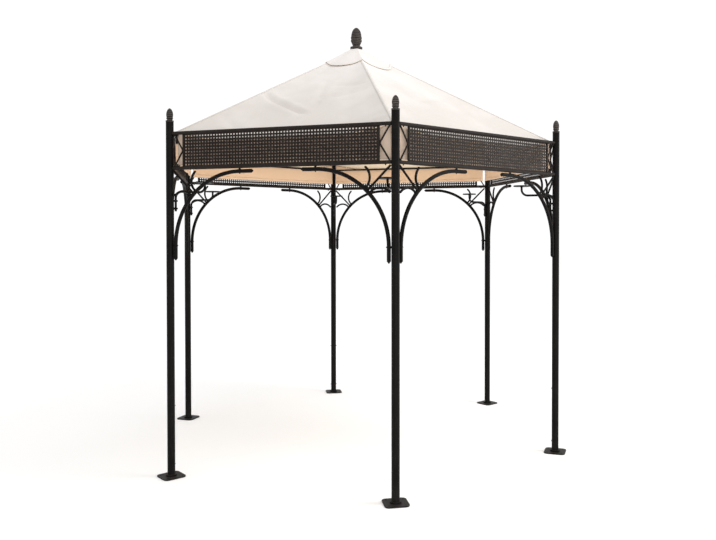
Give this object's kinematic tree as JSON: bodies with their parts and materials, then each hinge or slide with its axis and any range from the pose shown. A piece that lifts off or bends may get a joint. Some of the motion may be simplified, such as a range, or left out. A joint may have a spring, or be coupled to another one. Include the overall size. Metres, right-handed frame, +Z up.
{
  "type": "garden gazebo",
  "caption": "Hexagonal open garden gazebo with round steel posts, a lattice frieze, arched scroll braces and a vented tent canopy.",
  "frame": {"origin": "on the ground at the centre of the circle of posts", "axes": "+Z up along the gazebo's axis, -Y out through the front bay, +X toward the right post"},
  "size_m": [3.145, 2.7756, 3.099],
  "materials": {
    "frame_paint": "satin",
    "lattice_paint": "satin",
    "canopy_cloth": "matte"
  },
  "bodies": {
    "root": {"foot_front_left": "frame_paint", "post_front_left": "frame_paint", "tray_arm_front_left": "frame_paint", "foot_front_right": "frame_paint", "post_front_right": "frame_paint", "tray_arm_front_right": "frame_paint", "foot_right": "frame_paint", "post_right": "frame_paint", "tray_arm_right": "frame_paint", "foot_back_right": "frame_paint", "post_back_right": "frame_paint", "tray_arm_back_right": "frame_paint", "foot_back_left": "frame_paint", "post_back_left": "frame_paint", "tray_arm_back_left": "frame_paint", "foot_left": "frame_paint", "post_left": "frame_paint", "tray_arm_left": "frame_paint", "post_finials": "frame_paint", "frieze_frame_front": "frame_paint", "lattice_front": "lattice_paint", "braces_front": "frame_paint", "frieze_frame_front_right": "frame_paint", "lattice_front_right": "lattice_paint", "braces_front_right": "frame_paint", "frieze_frame_back_right": "frame_paint", "lattice_back_right": "lattice_paint", "braces_back_right": "frame_paint", "frieze_frame_back": "frame_paint", "lattice_back": "lattice_paint", "braces_back": "frame_paint", "frieze_frame_back_left": "frame_paint", "lattice_back_left": "lattice_paint", "braces_back_left": "frame_paint", "frieze_frame_front_left": "frame_paint", "lattice_front_left": "lattice_paint", "braces_front_left": "frame_paint", "canopy": "canopy_cloth", "vent_cap": "canopy_cloth", "valance": "canopy_cloth", "roof_ribs": "frame_paint", "eave_rods": "frame_paint", "roof_hub": "frame_paint", "apex_finial": "frame_paint"}
  },
  "joints": []
}
